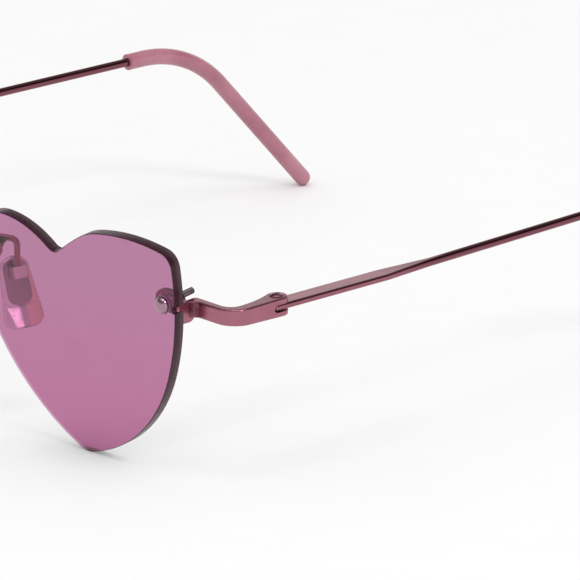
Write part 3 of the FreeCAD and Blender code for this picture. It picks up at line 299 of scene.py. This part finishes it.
def screw_steel(side, sign):
    """Polished head in front of the lens with a purple painted reflection of the lens on its rim, duller steel on the
    thread behind it.
    """
    material, tree, worn, spot = steel("screw_steel_" + side, SCREW_HEAD, 0.17, 0.24)
    middle, axis = lens_pose(sign)
    from_middle = add_node(tree, "VectorMath", {"operation": "SUBTRACT"}, _0=spot, _1=middle)
    in_front = add_node(tree, "VectorMath", {"operation": "DOT_PRODUCT"}, _0=from_middle.outputs[0], _1=axis)
    on_head = add_node(tree, "MapRange", Value=in_front.outputs["Value"], From_Min=THREAD_END, From_Max=SHANK_START)
    normal = add_node(tree, "TexCoord").outputs["Normal"]
    facing = add_node(tree, "VectorMath", {"operation": "DOT_PRODUCT"}, _0=normal, _1=axis)
    on_rim = add_node(tree, "MapRange", Value=facing.outputs["Value"], From_Min=0.36, From_Max=0.16)
    # Painted reflection of the lens on the head's rim
    polished = two_tone(tree, on_rim.outputs["Result"], SCREW_HEAD, SCREW_RIM_PAINTED_REFLECTION)
    split = add_node(tree, "Mix", {"data_type": "RGBA"}, _0=on_head.outputs["Result"], _7=polished)
    split.inputs[6].default_value = PLAIN_STEEL
    tree.links.new(split.outputs[2], worn.inputs[6])
    return material


for side, sign in SIDES.items():
    dress(screw_steel(side, sign), "temporal_screw_" + side, "bridge_screw_" + side)
plain_steel = steel("plain_steel", PLAIN_STEEL, 0.22, 0.36)[0]
dress(plain_steel, *both("temporal_nut", "bridge_nut"))


# Hinge screws
# Slotted steel screws, plated pink with the endpiece that each is driven into from above.
# The end of the temple turns on the plain part of the shank.
dress(plated("pink_plate_screws", (1, 1, 1), PLATE_ARM, 0.20, 0.28), *both("hinge_screw"))


# Temples
# One length of plated nickel silver each: a flat blade at the hinge, drawn down to a round wire for the ear.
# The drawing leaves faint lines along its length.
# The temples' plate is painted darker than the fittings' and darker again on the wire: painted shade
PLATE_BLADE_SHADED = (0.330, 0.128, 0.162, 1)
PLATE_WIRE_SHADED = (0.215, 0.074, 0.098, 1)
dress(plated("pink_plate_drawn", (1, 0.06, 1), PLATE_BLADE_SHADED, 0.15, 0.21, PLATE_WIRE_SHADED), *both("temple"))


# Temple tips
# Sleeves of extruded rose acetate with a faint swirl in the colour.
# Each is warmed, pushed over the end of the wire, bent with it and rounded at the end.
ACETATE_DEEP, ACETATE_PALE = (0.34, 0.11, 0.16, 1), (0.46, 0.19, 0.25, 1)


def rose_acetate():
    """Rose plastic with a swirl along the sleeve and a little light under the skin."""
    material, tree, out = new_finish("rose_acetate")
    spot = add_node(tree, "TexCoord").outputs["Object"]
    swirl = add_node(tree, "Mapping", Vector=spot, Scale=(1, 0.35, 0.35)).outputs["Vector"]
    tone = two_tone(tree, grain(tree, swirl, 260, 4), ACETATE_DEEP, ACETATE_PALE)
    marks = add_node(tree, "TexNoise", Vector=spot, Scale=1500, Detail=2.0).outputs["Fac"]
    bump = add_node(tree, "Bump", Height=marks, Strength=0.05, Distance=0.03 * MM)
    plastic = add_node(tree, "BsdfPrincipled", Base_Color=tone, Roughness=grain(tree, spot, 800, 2, 0.16, 0.28),
                       Subsurface_Weight=0.12, Subsurface_Scale=1.2 * MM, Normal=bump.outputs["Normal"])
    tree.links.new(plastic.outputs[0], out.inputs["Surface"])
    return material


dress(rose_acetate(), *both("temple_tip"))


# Pad cores, pad screws and pad boxes
# A stamped steel insert is moulded into each nose pad; its drilled lug sits in a cup on the pad arm, whose steel is
# painted bright as painted sheen.
# A tiny turned screw goes through cup and lug, and the pad rocks on it.
# Insert, cup and pad screw steel are lifted and tinted pink as painted sheen
INSERT_STEEL_PAINTED_SHEEN = (0.50, 0.37, 0.42, 1)
STEEL_PAINTED_SHEEN = (0.88, 0.70, 0.76, 1)
dress(steel("insert_steel", INSERT_STEEL_PAINTED_SHEEN, 0.16, 0.26)[0], *both("pad_core"))
dress(steel("box_steel", STEEL_PAINTED_SHEEN, 0.14, 0.22)[0], *both("pad_screw", "pad_box"))


# Nose pads
# Clear silicone moulded over the metal insert: drop shaped, crowned on the nose side, with rounded edges.
# Each one rocks on its pad screw.
PAD_TOP, PAD_BOTTOM = 3.2, -11.6
PAD_HALF_TOP, PAD_HALF_BOTTOM = 3.0, 4.2
PAD_TOP_ROUND, PAD_BOTTOM_ROUND = 2.6, 2.4
LUG_DISTANCE = 1.3
CORE_DROP, CORE_HALF_WIDE, CORE_HALF_TALL, CORE_DEPTH, CORE_ROUND = 2.1, 2.52, 4.62, 0.66, 1.92
POCKET_GAP = 0.03
HOLLOW_DEPTH, HOLLOW_HALF_WIDE, HOLLOW_CORNER, HOLLOW_BELOW_INSERT = 1.3, 3.3, 0.4, 0.25
HOLLOW_LEAD, HOLLOW_STEP = 0.15, 0.4
SMALLEST_ROUND = 0.15
PAD_UP = Vector((-0.28431, 0.00308, 0.95873))
# How far in from the outline and how deep behind the pad's back each ring of the skin lies
PAD_SKIN = [(0.42, 0.0), (0.20, -0.05), (0.05, -0.22), (0.0, -0.55), (0.0, -1.15), (0.10, -1.60), (0.34, -1.98),
            (0.72, -2.28), (1.22, -2.52), (1.85, -2.70), (2.45, -2.77)]
CORNER_STEPS = 9


def rounded_ring(half_top, half_bottom, top, bottom, round_top, round_bottom, depth):
    """Ring of points round a four cornered outline whose corners are rounded, in the pad's own axes."""
    corners = [(half_top, top, round_top, 0), (-half_top, top, round_top, 90),
               (-half_bottom, bottom, round_bottom, 180), (half_bottom, bottom, round_bottom, 270)]
    ring = []
    for wide, tall, radius, start in corners:
        middle = (wide - math.copysign(radius, wide), tall - radius if start < 180 else tall + radius)
        for step in range(CORNER_STEPS):
            angle = math.radians(start + 90 * step / (CORNER_STEPS - 1))
            ring.append(Vector((depth, middle[0] + radius * math.cos(angle), middle[1] + radius * math.sin(angle))))
    return ring


def pad_rings():
    """Rings from the floor of the insert's pocket out over the back, round the sides and in over the face."""
    rings = [rounded_ring(wide, wide, tall - CORE_DROP, -tall - CORE_DROP, radius, radius, depth)
             for wide, tall, radius, depth in ((1.4, 3.4, 0.9, -CORE_DEPTH),
                                               (CORE_HALF_WIDE, CORE_HALF_TALL, CORE_ROUND, -CORE_DEPTH),
                                               (CORE_HALF_WIDE, CORE_HALF_TALL, CORE_ROUND, -POCKET_GAP))]
    # Below the insert the back is hollowed, deepest at the insert and rising to the lower rim
    insert_end = -CORE_HALF_TALL - CORE_DROP
    hollow_foot = rounded_ring(CORE_HALF_WIDE + POCKET_GAP, HOLLOW_HALF_WIDE, CORE_HALF_TALL - CORE_DROP + POCKET_GAP,
                               insert_end - HOLLOW_BELOW_INSERT, CORE_ROUND, HOLLOW_CORNER, -0.02)
    for spot in hollow_foot:
        spot.x -= HOLLOW_DEPTH * min(max((insert_end + HOLLOW_LEAD - spot.z) / HOLLOW_STEP, 0.0), 1.0)
    rings.append(hollow_foot)
    for inset, depth in PAD_SKIN:
        rings.append(rounded_ring(PAD_HALF_TOP - inset, PAD_HALF_BOTTOM - inset, PAD_TOP - inset,
                                  PAD_BOTTOM + inset, max(PAD_TOP_ROUND - inset, SMALLEST_ROUND),
                                  max(PAD_BOTTOM_ROUND - inset, SMALLEST_ROUND), depth))
    return rings


def build_pad(side, sign):
    """Pad skinned over its rings, laid out in the left pad's axes from the joint and mirrored by the sign."""
    joint = next(j for j in frame["joints"] if j["name"] == "nose_pad_rock_" + side)
    rear = Vector((sign * joint["axis"][0], *joint["axis"][1:])).normalized()
    lug = Vector((sign * joint["pos_m"][0], *joint["pos_m"][1:]))
    out_of_back = rear.cross(PAD_UP).normalized()
    place = Matrix((out_of_back, rear, PAD_UP)).transposed()
    bm = bmesh.new()
    loops = []
    for ring in pad_rings():
        points = [place @ (spot * MM) + lug - out_of_back * LUG_DISTANCE * MM for spot in ring]
        loops.append([bm.verts.new((sign * spot.x, spot.y, spot.z)) for spot in points])
    count = len(loops[0])
    for first, second in zip(loops, loops[1:]):
        for i in range(count):
            bm.faces.new((first[i], first[(i + 1) % count], second[(i + 1) % count], second[i]))
    bm.faces.new(loops[0])
    bm.faces.new(list(reversed(loops[-1])))
    for loop in loops[1:5]:
        for first, second in zip(loop, loop[1:] + loop[:1]):
            bm.edges.get((first, second)).smooth = False
    bmesh.ops.recalc_face_normals(bm, faces=bm.faces)
    mesh = bpy.data.meshes.new("silicone_pad_" + side)
    bm.to_mesh(mesh)
    bm.free()
    for face in mesh.polygons:
        face.use_smooth = True
    pad = bpy.data.objects.new(mesh.name, mesh)
    bpy.context.scene.collection.objects.link(pad)
    return pad


def clear_silicone(side):
    """Clear gel with a soft skin and a shine; its painted reflection bands and painted highlight follow the joint's
    axis.
    """
    material, tree, out = new_finish("clear_silicone_" + side)
    joint = next(j for j in frame["joints"] if j["name"] == "nose_pad_rock_" + side)
    spot = add_node(tree, "TexCoord").outputs["Object"]
    from_lug = add_node(tree, "VectorMath", {"operation": "SUBTRACT"}, _0=spot, _1=joint["pos_m"])
    to_rear = add_node(tree, "VectorMath", {"operation": "DOT_PRODUCT"}, _0=from_lug.outputs[0], _1=joint["axis"])
    # Painted reflection in bands: clear in front, purple down the middle, warmer towards the temple
    across = add_node(tree, "MapRange", Value=to_rear.outputs["Value"], From_Min=-4 * MM, From_Max=4 * MM)
    bands = add_node(tree, "ValToRGB", Fac=across.outputs["Result"])
    band_ramp = bands.color_ramp
    band_ramp.elements[0].position, band_ramp.elements[0].color = 0.45, (0.98, 0.97, 0.98, 1)
    band_ramp.elements[1].position, band_ramp.elements[1].color = 0.66, (0.98, 0.80, 0.77, 1)
    for stop in (0.48, 0.61):
        band_ramp.elements.new(stop).color = (0.66, 0.58, 0.64, 1)
    cloud = add_node(tree, "Mix", {"data_type": "RGBA", "blend_type": "MULTIPLY"},
                     _0=grain(tree, spot, 420, 3, 0.0, 0.5), _6=bands.outputs["Color"])
    cloud.inputs[7].default_value = (0.93, 0.90, 0.92, 1)
    clear = add_node(tree, "BsdfTransparent", Color=cloud.outputs[2])
    skin = add_node(tree, "BsdfPrincipled", Base_Color=(0.80, 0.56, 0.62, 1), Roughness=0.4,
                    Subsurface_Weight=0.3, Subsurface_Scale=1.5 * MM)
    rim = add_node(tree, "LayerWeight", Blend=0.35).outputs["Facing"]
    body = add_node(tree, "MapRange", Value=rim, To_Min=0.04, To_Max=0.42).outputs["Result"]
    gel = add_node(tree, "MixShader", _0=body, _1=clear.outputs[0], _2=skin.outputs[0])
    marks = add_node(tree, "TexNoise", Vector=spot, Scale=1200, Detail=2.0).outputs["Fac"]
    bump = add_node(tree, "Bump", Height=marks, Strength=0.05, Distance=0.05 * MM).outputs["Normal"]
    # Painted highlight: the shine is kept full only on the front band
    painted_highlight_share = add_node(tree, "MapRange", Value=across.outputs["Result"], From_Min=0.45, From_Max=0.48,
                      To_Min=1.0, To_Max=0.25)
    shine = add_node(tree, "BsdfGlossy", Color=painted_highlight_share.outputs["Result"],
                     Roughness=grain(tree, spot, 900, 2, 0.08, 0.16), Normal=bump)
    fresnel = add_node(tree, "Fresnel", IOR=1.9, Normal=bump)
    from_inside = add_node(tree, "NewGeometry").outputs["Backfacing"]
    outer_skin = add_node(tree, "Math", {"operation": "SUBTRACT"}, _0=1.0, _1=from_inside)
    bounce = add_node(tree, "Math", {"operation": "MULTIPLY"}, _0=fresnel.outputs[0], _1=outer_skin.outputs[0])
    whole = add_node(tree, "MixShader", _0=bounce.outputs[0], _1=gel.outputs[0], _2=shine.outputs[0])
    tree.links.new(whole.outputs[0], out.inputs["Surface"])
    return material


for side, sign in SIDES.items():
    pad = build_pad(side, sign)
    pad.data.materials.append(clear_silicone(side))
    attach(pad, "nose_pad_" + side)
    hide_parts("nose_pad_" + side)


# Table, light and camera
# The pair stands on a white paper sheet in a bright studio: pale walls all round, one darker corner, a dark ceiling.
# Two soft round lamps stand off: one above, one high beside the temple. The camera looks from the wearer's left.
PAPER_LOW, PAPER_HIGH = (0.895, 0.895, 0.895, 1), (0.905, 0.905, 0.905, 1)
WAY_TO_DARK_CORNER = (0.70, 0.71, 0.0)
ROOM_LIGHT = 0.925


def table():
    """White sheet of paper under the pair, with faint clouds in its tone."""
    bpy.ops.mesh.primitive_grid_add(x_subdivisions=8, y_subdivisions=8, size=6.0, location=(0, 0, -0.02 * MM))
    floor = bpy.context.active_object
    floor.name = "white_sheet"
    material, tree, out = new_finish("white_sheet")
    spot = add_node(tree, "TexCoord").outputs["Object"]
    tone = two_tone(tree, grain(tree, spot, 60, 3), PAPER_LOW, PAPER_HIGH)
    paper = add_node(tree, "BsdfDiffuse", Color=tone)
    tree.links.new(paper.outputs[0], out.inputs["Surface"])
    floor.data.materials.append(material)


table()
world = bpy.data.worlds.new("studio")
bpy.context.scene.world = world
world.use_nodes = True
tree = world.node_tree
tree.nodes.clear()
rays = add_node(tree, "LightPath").outputs
upward = add_node(tree, "SeparateXYZ", Vector=add_node(tree, "TexCoord").outputs["Generated"]).outputs["Z"]
height = add_node(tree, "MapRange", Value=upward, From_Min=-1.0, From_Max=1.0).outputs["Result"]
walls = add_node(tree, "ValToRGB", Fac=height)
ramp = walls.color_ramp
ramp.elements[0].position, ramp.elements[0].color = 0.44, (0.45, 0.45, 0.45, 1)
ramp.elements[1].position, ramp.elements[1].color = 0.50, (1.0, 1.0, 1.0, 1)
for stop, grey in ((0.67, 1.0), (0.72, 0.25), (0.90, 0.25), (0.95, 1.0)):
    ramp.elements.new(stop).color = (grey, grey, grey, 1)
sideways = add_node(tree, "VectorMath", {"operation": "DOT_PRODUCT"},
                    _0=add_node(tree, "TexCoord").outputs["Generated"], _1=WAY_TO_DARK_CORNER)
corner = add_node(tree, "MapRange", Value=sideways.outputs["Value"], From_Min=0.50, From_Max=0.72).outputs["Result"]
above_skirting = add_node(tree, "MapRange", Value=upward, From_Min=0.12, From_Max=0.45).outputs["Result"]
dark_corner = add_node(tree, "Math", {"operation": "MULTIPLY"}, _0=corner, _1=above_skirting)
dimmed = add_node(tree, "MapRange", Value=dark_corner.outputs[0], To_Min=1.0, To_Max=0.08)
room = add_node(tree, "Background", Color=walls.outputs["Color"], Strength=dimmed.outputs["Result"])
lighting = add_node(tree, "Background", Color=(1, 1, 1, 1), Strength=ROOM_LIGHT)
straight = add_node(tree, "Math", {"operation": "MAXIMUM"}, _0=rays["Is Camera Ray"], _1=rays["Is Transmission Ray"])
looked_at = add_node(tree, "Math", {"operation": "MAXIMUM"}, _0=straight.outputs[0], _1=rays["Is Glossy Ray"])
studio = add_node(tree, "MixShader", _0=looked_at.outputs[0], _1=lighting.outputs[0], _2=room.outputs[0])
tree.links.new(studio.outputs[0], add_node(tree, "OutputWorld").inputs["Surface"])


def soft_lamp(name, size, energy, place, aim):
    """Round area lamp at a place, turned towards its aim."""
    lamp = bpy.data.lights.new(name, "AREA")
    lamp.shape, lamp.size, lamp.energy = "DISK", size, energy
    lamp_object = bpy.data.objects.new(name, lamp)
    lamp_object.location = place
    lamp_object.rotation_euler = (Vector(aim) - lamp_object.location).to_track_quat("-Z", "Y").to_euler()
    bpy.context.scene.collection.objects.link(lamp_object)


soft_lamp("lamp_above", size=0.60, energy=2.6, place=(0.410, -0.440, 1.750), aim=(0.06, -0.07, 0.03))
soft_lamp("lamp_beside", size=0.40, energy=4.9, place=(1.330, -0.200, 1.240), aim=(0.01, -0.07, 0.02))

VIEW_AZIMUTH, VIEW_ELEVATION = math.radians(47.51), math.radians(17.63)
VIEW_CENTRE = left_hinge + Vector((5.184, -1.122, 4.486)) * MM
VIEW_DISTANCE, VIEW_FIELD, FILM = 3.0, 0.114856, 36.0
camera = bpy.data.cameras.new("camera")
camera.sensor_width = FILM
camera.lens = FILM * VIEW_DISTANCE / VIEW_FIELD
camera.clip_start, camera.clip_end = 0.01, 100
camera_object = bpy.data.objects.new("camera", camera)
towards = Vector((math.sin(VIEW_AZIMUTH) * math.cos(VIEW_ELEVATION),
                  -math.cos(VIEW_AZIMUTH) * math.cos(VIEW_ELEVATION), math.sin(VIEW_ELEVATION)))
camera_object.location = VIEW_CENTRE + towards * VIEW_DISTANCE
camera_object.rotation_euler = (-towards).to_track_quat("-Z", "Y").to_euler()
bpy.context.scene.collection.objects.link(camera_object)
bpy.context.scene.camera = camera_object
bpy.context.scene.view_settings.view_transform = "Standard"
